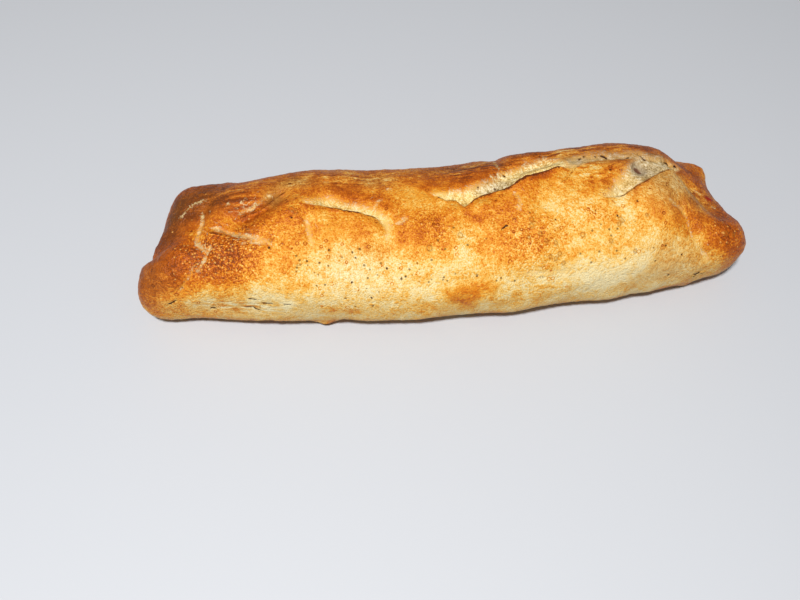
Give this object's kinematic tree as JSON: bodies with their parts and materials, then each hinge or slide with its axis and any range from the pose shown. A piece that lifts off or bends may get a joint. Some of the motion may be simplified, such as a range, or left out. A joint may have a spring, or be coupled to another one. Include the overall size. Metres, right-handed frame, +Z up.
{
  "type": "bedfordshire clanger",
  "caption": "Long baked pastry roll, closed at both ends, with a flat base, a torn split and a steam vent along its crown and pinched end lobes.",
  "frame": {"origin": "centre of the base's footprint, on the surface that the roll lies on", "axes": "+X along the roll to the end with the pointed ear, +Y to its back, +Z up"},
  "size_m": [0.2098, 0.0588, 0.0386],
  "materials": {
    "crust": null
  },
  "bodies": {
    "root": {"pastry": "crust"}
  },
  "joints": []
}
